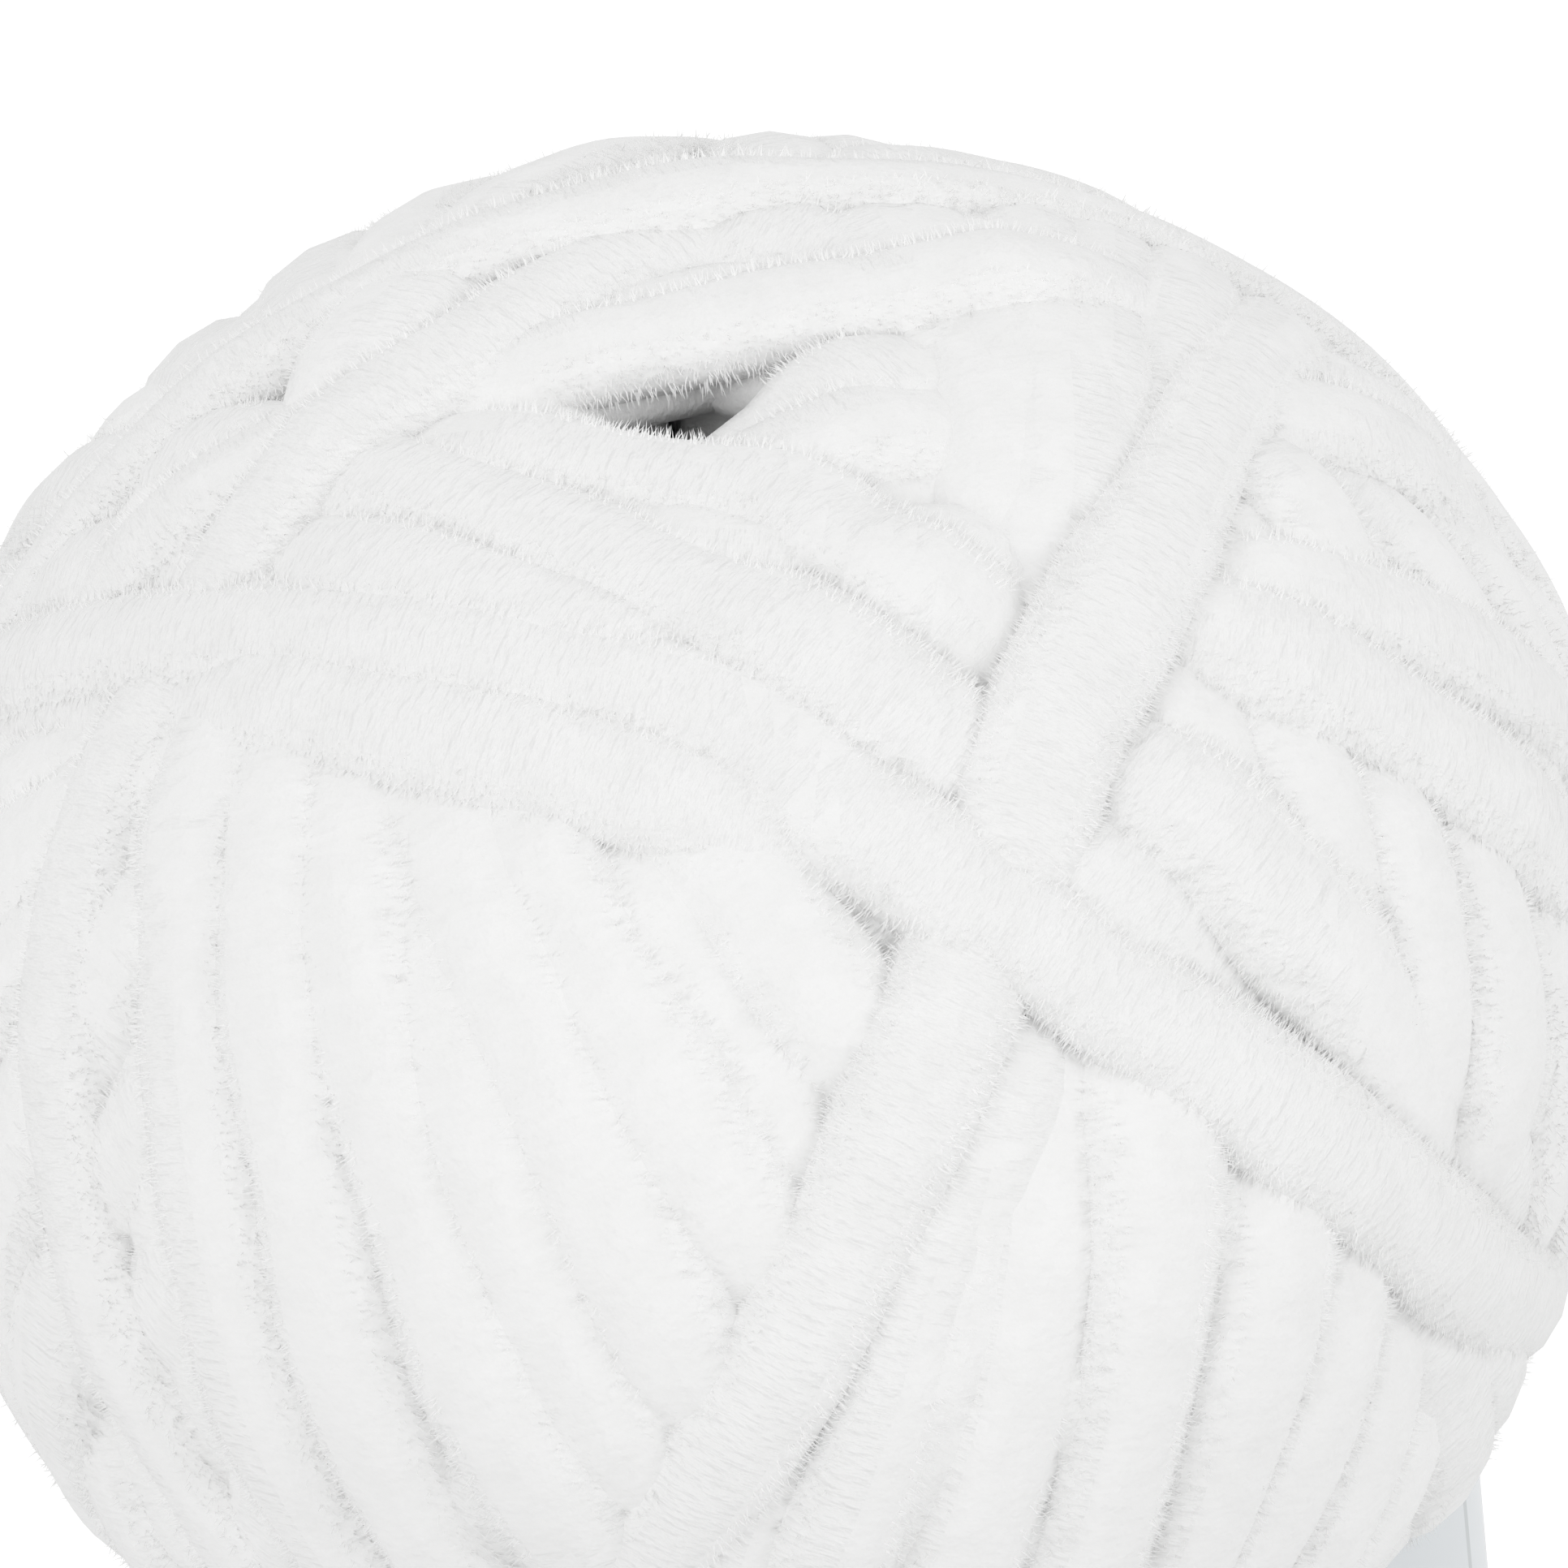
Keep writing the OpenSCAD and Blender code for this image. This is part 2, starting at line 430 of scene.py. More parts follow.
pile_length = 0.00080
pile_base = 0.00010                     # width of a fibre at its foot
pile_stray = 0.35                       # how far a fibre leans to any side
pile_pressed = 0.3                      # how far it is laid down towards the ball
shortest, longest = 0.6, 1.1            # fibres, as shares of the pile's length
pile_per_square_metre = 15e6
side_begins, side_full = 0.62, 0.9      # shares of half the width, between which the fibres start
underside = -0.35                       # on the strand's underside, past this share, are none


def new_tree(name, sizes):
    """A node tree with a geometry and named sizes going in, and a geometry coming out."""
    tree = bpy.data.node_groups.new(name, "GeometryNodeTree")
    tree.interface.new_socket("Geometry", in_out="INPUT", socket_type="NodeSocketGeometry")
    for label, default in sizes:
        socket = tree.interface.new_socket(label, in_out="INPUT", socket_type="NodeSocketFloat")
        socket.default_value = default
    tree.interface.new_socket("Geometry", in_out="OUTPUT", socket_type="NodeSocketGeometry")
    return tree


def route_value(tree, label, kind="FLOAT"):
    """Reads a value that the route or the strand carries at each of its points."""
    reading = tree.nodes.new("GeometryNodeInputNamedAttribute")
    reading.data_type = kind
    reading.inputs["Name"].default_value = label
    return reading.outputs["Attribute"]


def finish_tree(tree, geometry, finish):
    """Ends a node tree in real geometry with a material."""
    realized = tree.nodes.new("GeometryNodeRealizeInstances")
    tree.links.new(geometry, realized.inputs["Geometry"])
    cloth = tree.nodes.new("GeometryNodeSetMaterial")
    cloth.inputs["Material"].default_value = finish
    tree.links.new(realized.outputs["Geometry"], cloth.inputs["Geometry"])
    result = tree.nodes.new("NodeGroupOutput")
    tree.links.new(cloth.outputs["Geometry"], result.inputs["Geometry"])


def sweep_strand_tree(name, sides, finish):
    """Sweeps a flattened round along a route; its 'lay' value is the way up of the strand."""
    tree = new_tree(name, (("Width", strand_width), ("Flatness", 0.8)))
    add, link = tree.nodes.new, tree.links.new
    given = add("NodeGroupInput")

    route = add("GeometryNodeMeshToCurve")
    link(given.outputs["Geometry"], route.inputs["Mesh"])
    upright = add("GeometryNodeSetCurveNormal")
    upright.mode = "FREE"
    link(route.outputs["Curve"], upright.inputs["Curve"])
    link(route_value(tree, "lay", "FLOAT_VECTOR"), upright.inputs["Normal"])

    half_width = worked_out(tree, "MULTIPLY", given.outputs["Width"], 0.5)
    round_section = add("GeometryNodeCurvePrimitiveCircle")
    round_section.inputs["Resolution"].default_value = sides
    link(half_width, round_section.inputs["Radius"])
    spot = add("GeometryNodeInputPosition")
    in_widths = add("ShaderNodeVectorMath")
    in_widths.operation = "DIVIDE"
    by_width = add("ShaderNodeCombineXYZ")
    for axis in "XYZ":
        link(half_width, by_width.inputs[axis])
    link(spot.outputs["Position"], in_widths.inputs[0])
    link(by_width.outputs["Vector"], in_widths.inputs[1])
    noted = add("GeometryNodeStoreNamedAttribute")
    noted.data_type = "FLOAT_VECTOR"
    noted.domain = "POINT"
    noted.inputs["Name"].default_value = "across"
    link(round_section.outputs["Curve"], noted.inputs["Geometry"])
    link(in_widths.outputs["Vector"], noted.inputs["Value"])
    flatten = add("ShaderNodeCombineXYZ")
    flatten.inputs["Y"].default_value = 1
    flatten.inputs["Z"].default_value = 1
    link(given.outputs["Flatness"], flatten.inputs["X"])
    section = add("GeometryNodeTransform")
    link(noted.outputs["Geometry"], section.inputs["Geometry"])
    link(flatten.outputs["Vector"], section.inputs["Scale"])

    swept = add("GeometryNodeCurveToMesh")
    swept.inputs["Fill Caps"].default_value = True
    link(upright.outputs["Curve"], swept.inputs["Curve"])
    link(section.outputs["Geometry"], swept.inputs["Profile Curve"])
    link(route_value(tree, "fullness"), swept.inputs["Scale"])
    smooth = add("GeometryNodeSetShadeSmooth")
    link(swept.outputs["Mesh"], smooth.inputs["Geometry"])
    finish_tree(tree, smooth.outputs["Geometry"], finish)
    return tree


def grow_pile_tree(name):
    """Stands short tapered fibres along the two open sides of a strand."""
    tree = new_tree(name, (("Density", pile_per_square_metre), ("Length", pile_length)))
    add, link = tree.nodes.new, tree.links.new
    given = add("NodeGroupInput")

    section_spot = add("ShaderNodeSeparateXYZ")
    link(route_value(tree, "across", "FLOAT_VECTOR"), section_spot.inputs["Vector"])
    on_side = add("ShaderNodeMapRange")
    on_side.inputs["From Min"].default_value = side_begins
    on_side.inputs["From Max"].default_value = side_full
    link(worked_out(tree, "ABSOLUTE", section_spot.outputs["Y"]), on_side.inputs["Value"])
    not_beneath = worked_out(tree, "GREATER_THAN", section_spot.outputs["X"], underside)
    density = given.outputs["Density"]
    for where_open in (route_value(tree, "shown"), on_side.outputs["Result"], not_beneath):
        density = worked_out(tree, "MULTIPLY", density, where_open)
    scatter = add("GeometryNodeDistributePointsOnFaces")
    scatter.distribute_method = "RANDOM"
    scatter.inputs["Seed"].default_value = 7
    link(given.outputs["Geometry"], scatter.inputs["Mesh"])
    link(density, scatter.inputs["Density"])

    stray = add("FunctionNodeRandomValue")
    stray.data_type = "FLOAT_VECTOR"
    stray.inputs["Min"].default_value = (-pile_stray,) * 3
    stray.inputs["Max"].default_value = (pile_stray,) * 3
    stray.inputs["Seed"].default_value = 11
    laid_down = add("ShaderNodeVectorMath")
    laid_down.operation = "SCALE"
    laid_down.inputs["Scale"].default_value = -pile_pressed
    link(route_value(tree, "lay", "FLOAT_VECTOR"), laid_down.inputs["Vector"])
    pointing = scatter.outputs["Normal"]
    for lean in (stray.outputs[0], laid_down.outputs["Vector"]):
        leaning = add("ShaderNodeVectorMath")
        leaning.operation = "ADD"
        link(pointing, leaning.inputs[0])
        link(lean, leaning.inputs[1])
        pointing = leaning.outputs["Vector"]
    turned_fibre = add("FunctionNodeAxesToRotation")
    turned_fibre.primary_axis = "Z"
    turned_fibre.secondary_axis = "X"
    link(pointing, turned_fibre.inputs["Primary Axis"])
    link(route_value(tree, "along", "FLOAT_VECTOR"), turned_fibre.inputs["Secondary Axis"])

    lengths = add("FunctionNodeRandomValue")
    lengths.data_type = "FLOAT"
    lengths.inputs[2].default_value = shortest
    lengths.inputs[3].default_value = longest
    lengths.inputs["Seed"].default_value = 5
    sizes = add("ShaderNodeCombineXYZ")
    sizes.inputs["X"].default_value = pile_base
    sizes.inputs["Y"].default_value = pile_base
    link(worked_out(tree, "MULTIPLY", lengths.outputs[1], given.outputs["Length"]),
         sizes.inputs["Z"])

    fibre = add("GeometryNodeObjectInfo")
    fibre.inputs["Object"].default_value = one_fibre
    planted = add("GeometryNodeInstanceOnPoints")
    link(scatter.outputs["Points"], planted.inputs["Points"])
    link(fibre.outputs["Geometry"], planted.inputs["Instance"])
    link(turned_fibre.outputs["Rotation"], planted.inputs["Rotation"])
    link(sizes.outputs["Vector"], planted.inputs["Scale"])
    finish_tree(tree, planted.outputs["Instances"], pile_tips_painted_lighter)
    return tree


def made_plain(source, tree, name, settings):
    """Runs a node tree on an object and returns its result as a plain mesh object."""
    modifier = source.modifiers.new(name, "NODES")
    modifier.node_group = tree
    for item in tree.interface.items_tree:
        if item.item_type == "SOCKET" and item.in_out == "INPUT" and item.name in settings:
            modifier[item.identifier] = settings[item.name]
    bpy.context.view_layer.update()
    evaluated = source.evaluated_get(bpy.context.evaluated_depsgraph_get())
    mesh = bpy.data.meshes.new_from_object(evaluated)
    source.modifiers.remove(modifier)
    made = bpy.data.objects.new(name, mesh)
    bpy.context.collection.objects.link(made)
    return made


def route_object(name, routes):
    """Routes as one wire mesh. Each is its points, the ways up of the strand there, how full it is,
    how much of it is open, and a number that sets its streaks apart from the other routes'."""
    points, edges = [], []
    carried = {"lay": [], "fullness": [], "shown": [], "along": [], "length": []}
    start = 0
    for place, lay, full, shown, number in routes:
        ahead = np.gradient(place, axis=0)
        step = np.linalg.norm(ahead, axis=1)
        values = (lay, full, shown, ahead / step[:, None], number + np.cumsum(step))
        for label, value in zip(carried, values):
            carried[label].append(value)
        points.append(place)
        edges += [(start + i, start + i + 1) for i in range(len(place) - 1)]
        start += len(place)
    mesh = bpy.data.meshes.new(name)
    mesh.from_pydata(np.concatenate(points).tolist(), edges, [])
    for label, pieces in carried.items():
        values = np.concatenate(pieces).astype(np.float32)
        kind, field = ("FLOAT_VECTOR", "vector") if values.ndim > 1 else ("FLOAT", "value")
        mesh.attributes.new(label, kind, "POINT").data.foreach_set(field, values.ravel())
    wire = bpy.data.objects.new(name, mesh)
    bpy.context.collection.objects.link(wire)
    return wire


def mottled(tree, where, scale, detail):
    """A noise read at a place: how high it is there."""
    noise = tree.nodes.new("ShaderNodeTexNoise")
    noise.inputs["Scale"].default_value = scale
    noise.inputs["Detail"].default_value = detail
    tree.links.new(where, noise.inputs["Vector"])
    return noise.outputs["Fac"]


def give_relief(material, height, strength, distance):
    """Makes a surface look raised by a height; a height of 1 stands for the distance."""
    tree = material.node_tree
    relief = tree.nodes.new("ShaderNodeBump")
    relief.inputs["Strength"].default_value = strength
    relief.inputs["Distance"].default_value = distance
    tree.links.new(height, relief.inputs["Height"])
    tree.links.new(relief.outputs["Normal"], tree.nodes["Principled BSDF"].inputs["Normal"])


def yarn_material(name, white, relief_strength):
    """White microfibre pile: matt, with a soft sheen and fine streaks across the strand."""
    material = bpy.data.materials.new(name)
    material.use_nodes = True
    tree = material.node_tree
    add, link = tree.nodes.new, tree.links.new
    surface = tree.nodes["Principled BSDF"]
    surface.inputs["Roughness"].default_value = 0.95
    surface.inputs["Specular IOR Level"].default_value = 0.15
    surface.inputs["Sheen Weight"].default_value = 0.2
    surface.inputs["Sheen Roughness"].default_value = 0.5

    length = add("ShaderNodeAttribute")
    length.attribute_name = "length"
    across = add("ShaderNodeAttribute")
    across.attribute_name = "across"
    on_strand = add("ShaderNodeSeparateXYZ")
    link(across.outputs["Vector"], on_strand.inputs["Vector"])
    millimetres = worked_out(tree, "MULTIPLY", length.outputs["Fac"], 1000)
    strand_spot = add("ShaderNodeCombineXYZ")
    link(millimetres, strand_spot.inputs["X"])
    link(on_strand.outputs["Y"], strand_spot.inputs["Y"])
    link(on_strand.outputs["X"], strand_spot.inputs["Z"])
    ball_spot = add("ShaderNodeTexCoord").outputs["Object"]
    streaks = mottled(tree, strand_spot.outputs["Vector"], 2.2, 3)
    clumps = mottled(tree, ball_spot, 330, 4)
    fine = mottled(tree, ball_spot, 2400, 2)
    coarse = worked_out(tree, "MULTIPLY_ADD", clumps, 1.6, streaks)
    height = worked_out(tree, "MULTIPLY_ADD", fine, 0.35, coarse)
    give_relief(material, height, relief_strength, 0.0005)

    tint = add("ShaderNodeMix")
    tint.data_type = "RGBA"
    tint.inputs["A"].default_value = (0.95 * white, 0.95 * white, 0.945 * white, 1)
    tint.inputs["B"].default_value = (white, white, 0.998 * white, 1)
    uneven_tint = add("ShaderNodeMapRange")
    uneven_tint.inputs["From Min"].default_value = 0.6
    uneven_tint.inputs["From Max"].default_value = 1.7
    link(coarse, uneven_tint.inputs["Value"])
    link(uneven_tint.outputs["Result"], tint.inputs["Factor"])
    link(tint.outputs["Result"], surface.inputs["Base Color"])
    return material


yarn_pile = yarn_material("velvet_pile", 0.95, 0.42)
# The fibres' white is painted lighter than the strand body's: painted light that offsets the shade the
# blades cast on one another.
pile_tips_painted_lighter = yarn_material("pile_tips_painted_lighter", 0.97, 0.0)
fibre_mesh = bpy.data.meshes.new("one_fibre")
fibre_mesh.from_pydata([(-0.5, 0, 0), (0.5, 0, 0), (0, 0, 1)], [], [(0, 1, 2)])
one_fibre = bpy.data.objects.new("one_fibre", fibre_mesh)

strand_tree = sweep_strand_tree("sweep_strand", 12, yarn_pile)
hidden_tree = sweep_strand_tree("sweep_hidden_strand", 8, yarn_pile)
pile_tree = grow_pile_tree("grow_pile")
rng = np.random.default_rng(12)

body_width = strand_width - 0.0004      # as it is made, a little narrower than its room
body_flatness = 0.58
swelling = 0.12                         # how much a strand's fullness comes and goes,
swelling_period = 0.009                 # over about this length
wander = 0.0004                         # how far a strand strays from its route,
wander_period = 0.014                   # over about this length
wander_radius = 0.006                   # nearer the axis than this it strays no further round
unpressed_turns = 8                     # the last turns, which no others squeeze flat and wide
unpressed_fullness = 0.88
thinner_by_hole = 0.1                   # strands drawn round the hole are this much thinner,
thin_edge, thin_ease = 0.010, 0.003     # from this radius inwards
table_clearance = 0.0036                # no strand's middle lies lower than this over the table
group_starts = [0, 30, 48, 62, 74, 84, 92, 98, 103, 107, 111]


def uneven(count, step, period, amount):
    """A random share round 1 at each point of a strand, which changes slowly along it."""
    knots = max(int(count * step / period) + 3, 4)
    return np.interp(np.linspace(0, knots - 1, count), np.arange(knots),
                     1 + amount * rng.uniform(-1, 1, knots))


def visible_runs(near_top, margin=6):
    """The stretches of a strand near the top of the pile, with some of what goes under."""
    kept = np.convolve(near_top, np.ones(2 * margin + 1), mode="same") > 0
    edges = np.flatnonzero(np.diff(np.concatenate([[0], kept.astype(int), [0]])))
    return [(a, b) for a, b in zip(edges[::2], edges[1::2]) if b - a > 3]


def wound_routes(group):
    """The seen stretches of wound strands as routes over the skin."""
    routes = []
    for number, way, angle, height, shown, near_top in group:
        full = uneven(len(way), route_step, swelling_period, swelling)
        full *= unpressed_fullness if number >= len(strands) - unpressed_turns else 1
        full *= 1 - thinner_by_hole * np.clip((thin_edge - radius_at(way)) / thin_ease, 0, 1)
        astray = wander * (uneven(len(way), route_step, wander_period, 1.0) - 1)
        turned_astray = astray / np.maximum(radius_at(way), wander_radius)
        for a, b in visible_runs(near_top):
            place = skin_place(way[a:b], angle[a:b] + turned_astray[a:b], height[a:b])
            place[:, 2] = np.maximum(place[:, 2], table_clearance)
            routes.append((place, outward_at(way[a:b], angle[a:b]), full[a:b], shown[a:b],
                           number))
    return routes


def yarn_pieces(name, body, nodes, routes, width, flatness, tree, with_pile=True):
    """Makes a length of yarn, and its pile, that ride on a body and stand for CAD solids."""
    wire = route_object(name + "_route", routes)
    strand = made_plain(wire, tree, name, {"Width": width, "Flatness": flatness})
    bpy.data.objects.remove(wire)
    made = [strand]
    if with_pile:
        made.append(made_plain(strand, pile_tree, name + "_pile",
                               {"Density": pile_per_square_metre, "Length": pile_length}))
    for piece in made:
        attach(piece, body)
        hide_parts(*nodes)


for part, (first, last) in enumerate(zip(group_starts, group_starts[1:] + [len(strands)])):
    yarn_pieces("outer_lay_%02d" % (part + 1), "ball", ["outer_winding"],
                wound_routes(strands[first:last]), body_width, body_flatness, strand_tree,
                with_pile=part > 1)


# ---- Middle and inner lays ---------------------------------------------------------------------
# The first yarn goes straight on to the spindle, whose hole is left when the ball comes off it.
# The next lays cross it in a barrel. They are hidden, but for the strands that line the hole.


def barrel_routes(radius, low, high, count, twist, number):
    """Strands that climb round a barrel, half of them one way and half the other."""
    points = 60
    crossing = 0.0022                   # how far the strands of one way lie outside the others
    share = np.linspace(0, 1, points)
    routes = []
    for sense in (1, -1):
        for each in range(count):
            angle = 2 * math.pi * each / count + sense * twist * share
            ring = radius + (crossing if sense > 0 else 0)
            place = np.stack([ring * np.cos(angle), ring * np.sin(angle),
                              low + (high - low) * share], -1)
            out = np.stack([np.cos(angle), np.sin(angle), np.zeros(points)], -1)
            routes.append((place, out, uneven(points, 0.0026, 0.012, 0.06), np.zeros(points),
                           number + each))
    return routes


inner_radius = 0.0088                   # from the axis to the middle of the lining strands
inner_low, inner_high = ball_low[2] + 0.008, ball_high[2] - 0.006
yarn_pieces("inner_lay", "ball", ["inner_winding"],
            barrel_routes(inner_radius, inner_low, inner_high, 9, 2.2, 200),
            0.0058, 0.85, hidden_tree, with_pile=False)
middle_low, middle_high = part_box("middle_winding")
middle_inset = 0.006
yarn_pieces("middle_lay", "ball", ["middle_winding"],
            barrel_routes(middle_high[0] - 0.0068, middle_low[2] + middle_inset,
                          middle_high[2] - middle_inset, 18, 3.6, 230),
            0.0070, 0.70, hidden_tree, with_pile=False)


# ---- The inner end, which is drawn out of the hole ---------------------------------------------
# The start of the yarn stands in the pull hole, a little wavy. Its pile is stripped at the tip,
# where the two twisted binder threads show.

pull_low, pull_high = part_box("pull_end")
pull_core_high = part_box("pull_end_core")[1]
pull_middle = (pull_low + pull_high) / 2
thread_width = 0.00046
thread_apart = 0.00022                  # from the middle of the twist to the middle of a thread


def twisted_core(name, body, nodes, foot, tip):
    """Two binder threads, twisted twice round one another from a foot to a tip."""
    foot, tip = np.array(foot), np.array(tip)
    count = 40
    share = np.linspace(0, 1, count)
    side = np.cross(tip - foot, (0, 1, 0))
    side = side / np.linalg.norm(side)
    other = np.cross(tip - foot, side)
    other = other / np.linalg.norm(other)
    routes = []
    for ply in (0, math.pi):
        turn = ply + share * 4 * math.pi
        out = np.cos(turn)[:, None] * side + np.sin(turn)[:, None] * other
        place = foot + (tip - foot) * share[:, None] + out * thread_apart
        routes.append((place, out, np.ones(count), np.zeros(count), 300))
    wire = route_object(name + "_route", routes)
    threads = made_plain(wire, thread_tree, name, {"Width": thread_width, "Flatness": 1.0})
    bpy.data.objects.remove(wire)
    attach(threads, body)
    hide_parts(*nodes)


def thread_material():
    """Twisted polyester thread: white, a little shiny along its filaments."""
    material = bpy.data.materials.new("binder_thread")
    material.use_nodes = True
    add, link = material.node_tree.nodes.new, material.node_tree.links.new
    surface = material.node_tree.nodes["Principled BSDF"]
    surface.inputs["Roughness"].default_value = 0.55
    surface.inputs["Base Color"].default_value = (0.80, 0.80, 0.78, 1)
    where = add("ShaderNodeTexCoord")
    filaments = add("ShaderNodeTexWave")
    filaments.inputs["Scale"].default_value = 3500
    filaments.inputs["Distortion"].default_value = 2
    link(where.outputs["Object"], filaments.inputs["Vector"])
    give_relief(material, filaments.outputs["Fac"], 0.4, 0.0001)
    return material


thread_tree = sweep_strand_tree("sweep_thread", 8, thread_material())

bared = 0.35                            # what is left of the strand's fullness at its bare tip
core_inside = 0.003                     # the threads start this far down inside the pile
pull_points = 60
pull_width = 0.0035
pull_wave = 0.00025
pull_share = np.linspace(0, 1, pull_points)
pull_place = np.stack([pull_middle[0] + pull_wave * np.sin(pull_share * 26),
                       pull_middle[1] + pull_wave * np.cos(pull_share * 21),
                       pull_low[2] + (pull_high[2] - pull_low[2]) * pull_share], -1)
pull_full = np.clip((1 - pull_share) / 0.02, bared, 1) * uneven(pull_points, 0.0013, 0.010, 0.05)
pull_up = np.tile((1.0, 0.0, 0.0), (pull_points, 1))
yarn_pieces("pull_end_yarn", "inner_end", ["pull_end"],
            [(pull_place, pull_up, pull_full, np.ones(pull_points), 310)],
            pull_width, 1.0, strand_tree)
twisted_core("pull_end_threads", "inner_end", ["pull_end_core"],
             (pull_middle[0], 0, pull_high[2] - core_inside),
             (pull_middle[0], 0, pull_core_high[2]))


# ---- The outer end, tucked under the band ------------------------------------------------------
# The last of the yarn comes down off the upper bulge and is trapped flat between the winding and
# the paper. Its pile is stripped at the tip as well.

end_low, end_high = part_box("outer_end")
end_middle = (end_low + end_high) / 2
end_points = 24
end_width = 0.0062
end_flatness = 0.5                      # flattened between the winding and the paper
end_core_radius = 0.0352                # where the bare threads lie, just inside the paper
end_radius = math.hypot(end_middle[0], end_middle[1])
end_out = np.array([end_middle[0], end_middle[1], 0]) / end_radius
end_share = np.linspace(0, 1, end_points)
end_place = (np.outer(np.full(end_points, end_radius), end_out)
             + np.outer(end_high[2] + (end_low[2] - end_high[2]) * end_share, (0, 0, 1)))
end_full = np.clip((1 - end_share) / 0.05, bared, 1)
yarn_pieces("outer_end_yarn", "ball", ["outer_end"],
            [(end_place, np.tile(end_out, (end_points, 1)), end_full, np.zeros(end_points), 320)],
            end_width, end_flatness, strand_tree, with_pile=False)
core_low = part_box("outer_end_core")[0]
core_right, core_back = end_core_radius * end_out[:2]
twisted_core("outer_end_threads", "ball", ["outer_end_core"],
             (core_right, core_back, end_low[2] + core_inside),
             (core_right, core_back, core_low[2]))
bpy.data.objects.remove(one_fibre)


# ---- Label band --------------------------------------------------------------------------------
# One strip of glossy coated paper, printed pale blue-grey, wrapped round the waist. Its end laps
# over its start and is held by a line of hot-melt glue. The print is plain rules and panels.

paper = 0.0003
glue_thickness = 0.0001
band_radius = 0.0373                    # inside of the paper
lap_starts = math.radians(319)          # from +X, where the strip's start lies under its end
lap_turn = math.radians(22.5)
lap_climb = 0.10                        # radians over which the end climbs on to the start
edge_wave = 0.00012                     # how far the strip's long edges wave outwards
band_bottom, band_top = band_low[2], band_high[2]
ground_colour = (0.67, 0.70, 0.72, 1)
rule_colour = (0.42, 0.50, 0.56, 1)
panel_colour = (0.74, 0.77, 0.785, 1)
print_from = [(0.0, ground_colour), (0.10, rule_colour), (0.115, ground_colour),
              (0.26, panel_colour), (0.50, ground_colour), (0.535, rule_colour),
              (0.55, ground_colour)]    # each colour from its share of the height upwards


def paper_material():
    """Coated paper: a pale blue-grey print with plain rules under a clear gloss."""
    material = bpy.data.materials.new("coated_paper")
    material.use_nodes = True
    add, link = material.node_tree.nodes.new, material.node_tree.links.new
    surface = material.node_tree.nodes["Principled BSDF"]
    surface.inputs["Roughness"].default_value = 0.4
    surface.inputs["Coat Weight"].default_value = 0.25
    surface.inputs["Coat Roughness"].default_value = 0.15
    spot = add("ShaderNodeUVMap")
    spot.uv_map = "strip"
    axes = add("ShaderNodeSeparateXYZ")
    link(spot.outputs["UV"], axes.inputs["Vector"])
    print_colour = add("ShaderNodeValToRGB")
    print_colour.color_ramp.interpolation = "CONSTANT"
    ramp = print_colour.color_ramp
    while len(ramp.elements) < len(print_from):
        ramp.elements.new(0.5)
    for element, (level, colour) in zip(ramp.elements, print_from):
        element.position = level
        element.color = colour
    link(axes.outputs["Y"], print_colour.inputs["Fac"])
    # The last sliver of the strip, at its lapped end, is coloured as a darker blue-grey line.
    near_end = add("ShaderNodeMapRange")
    near_end.inputs["From Min"].default_value = 0.9970
    near_end.inputs["From Max"].default_value = 0.9975
    link(axes.outputs["X"], near_end.inputs["Value"])
    darker_end_line = add("ShaderNodeMix")
    darker_end_line.data_type = "RGBA"
    darker_end_line.inputs["B"].default_value = (0.50, 0.53, 0.54, 1)
    link(near_end.outputs["Result"], darker_end_line.inputs["Factor"])
    link(print_colour.outputs["Color"], darker_end_line.inputs["A"])
    link(darker_end_line.outputs["Result"], surface.inputs["Base Color"])
    fibres = mottled(material.node_tree, add("ShaderNodeTexCoord").outputs["Object"], 900, 5)
    give_relief(material, fibres, 0.12, 0.0001)
    return material


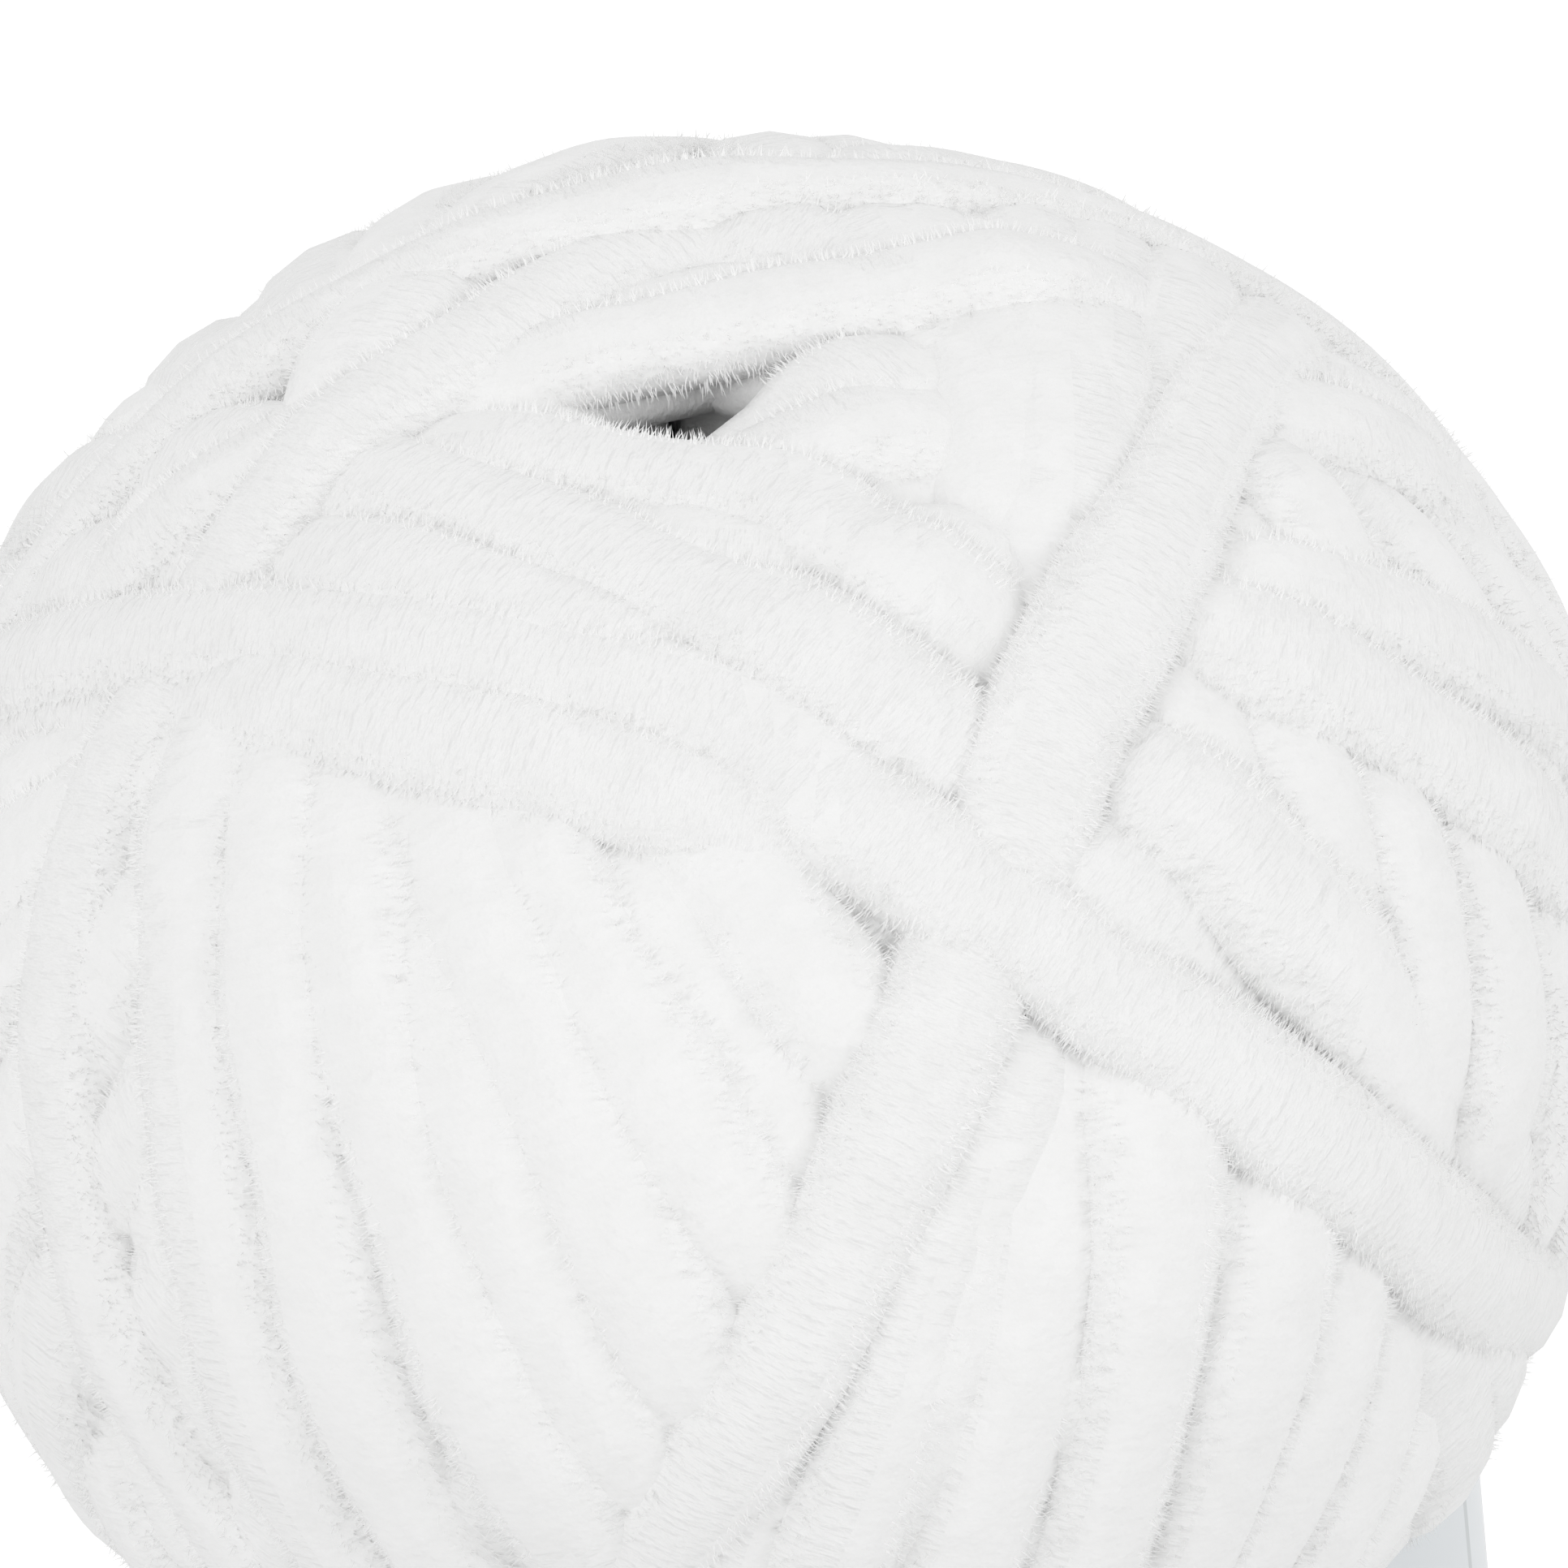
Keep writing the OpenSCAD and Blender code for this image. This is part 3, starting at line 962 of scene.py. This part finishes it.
def paper_strip():
    """The strip as a thin closed solid, with slight waves, from its start to its lapped end."""
    around, up = 260, 12
    points, faces, print_places = [], [], []
    for side in (0, 1):
        for i in range(around + 1):
            share = i / around
            turned_by = share * (2 * math.pi + lap_turn)
            over_start = np.clip((turned_by - 2 * math.pi + lap_climb) / lap_climb, 0, 1)
            ring = band_radius + side * paper + over_start * (paper + glue_thickness)
            for k in range(up + 1):
                level = k / up
                wave = edge_wave * math.sin(7 * turned_by + 2.3) * abs(2 * level - 1) ** 3
                waved_ring = ring + max(wave, 0)
                angle = lap_starts + turned_by
                points.append((waved_ring * math.cos(angle), waved_ring * math.sin(angle),
                               band_bottom + (band_top - band_bottom) * level))
                print_places.append((share, level))
    row = up + 1
    shell = (around + 1) * row
    for i in range(around):
        for k in range(up):
            a = i * row + k
            faces.append((a, a + 1, a + row + 1, a + row))
            faces.append((shell + a, shell + a + row, shell + a + row + 1, shell + a + 1))
        a, b = i * row, i * row + up
        faces.append((a, a + row, shell + a + row, shell + a))
        faces.append((b, shell + b, shell + b + row, b + row))
    for k in range(up):
        faces.append((k, shell + k, shell + k + 1, k + 1))
        b = around * row + k
        faces.append((b, b + 1, shell + b + 1, shell + b))
    mesh = bpy.data.meshes.new("label_band")
    mesh.from_pydata(points, [], faces)
    marks = mesh.uv_layers.new(name="strip")
    for loop in mesh.loops:
        marks.data[loop.index].uv = print_places[loop.vertex_index]
    mesh.polygons.foreach_set("use_smooth", [False] * len(mesh.polygons))
    mesh.materials.append(paper_material())
    strip = bpy.data.objects.new("label_band_paper", mesh)
    bpy.context.collection.objects.link(strip)
    return strip


band = paper_strip()
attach(band, "band")
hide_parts("label_band")


def glue_line():
    """A thin bead of glue between the start of the strip and its lapped end, a little uneven."""
    rows, across = 60, 8
    half_width = math.radians(4)
    inset = 0.002                       # from the strip's long edges
    middle_of_lap = lap_starts + lap_turn / 2
    points, faces = [], []
    for side in (0, 1):
        for i in range(rows + 1):
            level = i / rows
            spread = 0.75 + 0.25 * math.sin(17 * level) * math.sin(5.3 * level + 1)
            for k in range(across + 1):
                angle = middle_of_lap + half_width * spread * (2 * k / across - 1)
                ring = band_radius + paper + side * glue_thickness
                height = band_bottom + inset + (band_top - band_bottom - 2 * inset) * level
                points.append((ring * math.cos(angle), ring * math.sin(angle), height))
    row = across + 1
    shell = (rows + 1) * row
    for i in range(rows):
        for k in range(across):
            a = i * row + k
            faces.append((a, a + row, a + row + 1, a + 1))
            faces.append((shell + a, shell + a + 1, shell + a + row + 1, shell + a + row))
    rim = ([i * row for i in range(rows)] + [rows * row + k for k in range(across)]
           + [i * row + across for i in range(rows, 0, -1)] + list(range(across, 0, -1)))
    for a, b in zip(rim, rim[1:] + rim[:1]):
        faces.append((a, b, shell + b, shell + a)[::-1])
    mesh = bpy.data.meshes.new("label_glue")
    mesh.from_pydata(points, [], faces)
    material = bpy.data.materials.new("hot_melt_glue")
    material.use_nodes = True
    surface = material.node_tree.nodes["Principled BSDF"]
    surface.inputs["Base Color"].default_value = (0.72, 0.66, 0.48, 1)
    surface.inputs["Roughness"].default_value = 0.3
    where = material.node_tree.nodes.new("ShaderNodeTexCoord")
    lumps = mottled(material.node_tree, where.outputs["Object"], 700, 2)
    give_relief(material, lumps, 0.5, 0.0002)
    mesh.materials.append(material)
    bead = bpy.data.objects.new("label_glue_line", mesh)
    bpy.context.collection.objects.link(bead)
    return bead


glue = glue_line()
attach(glue, "band")
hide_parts("label_glue")
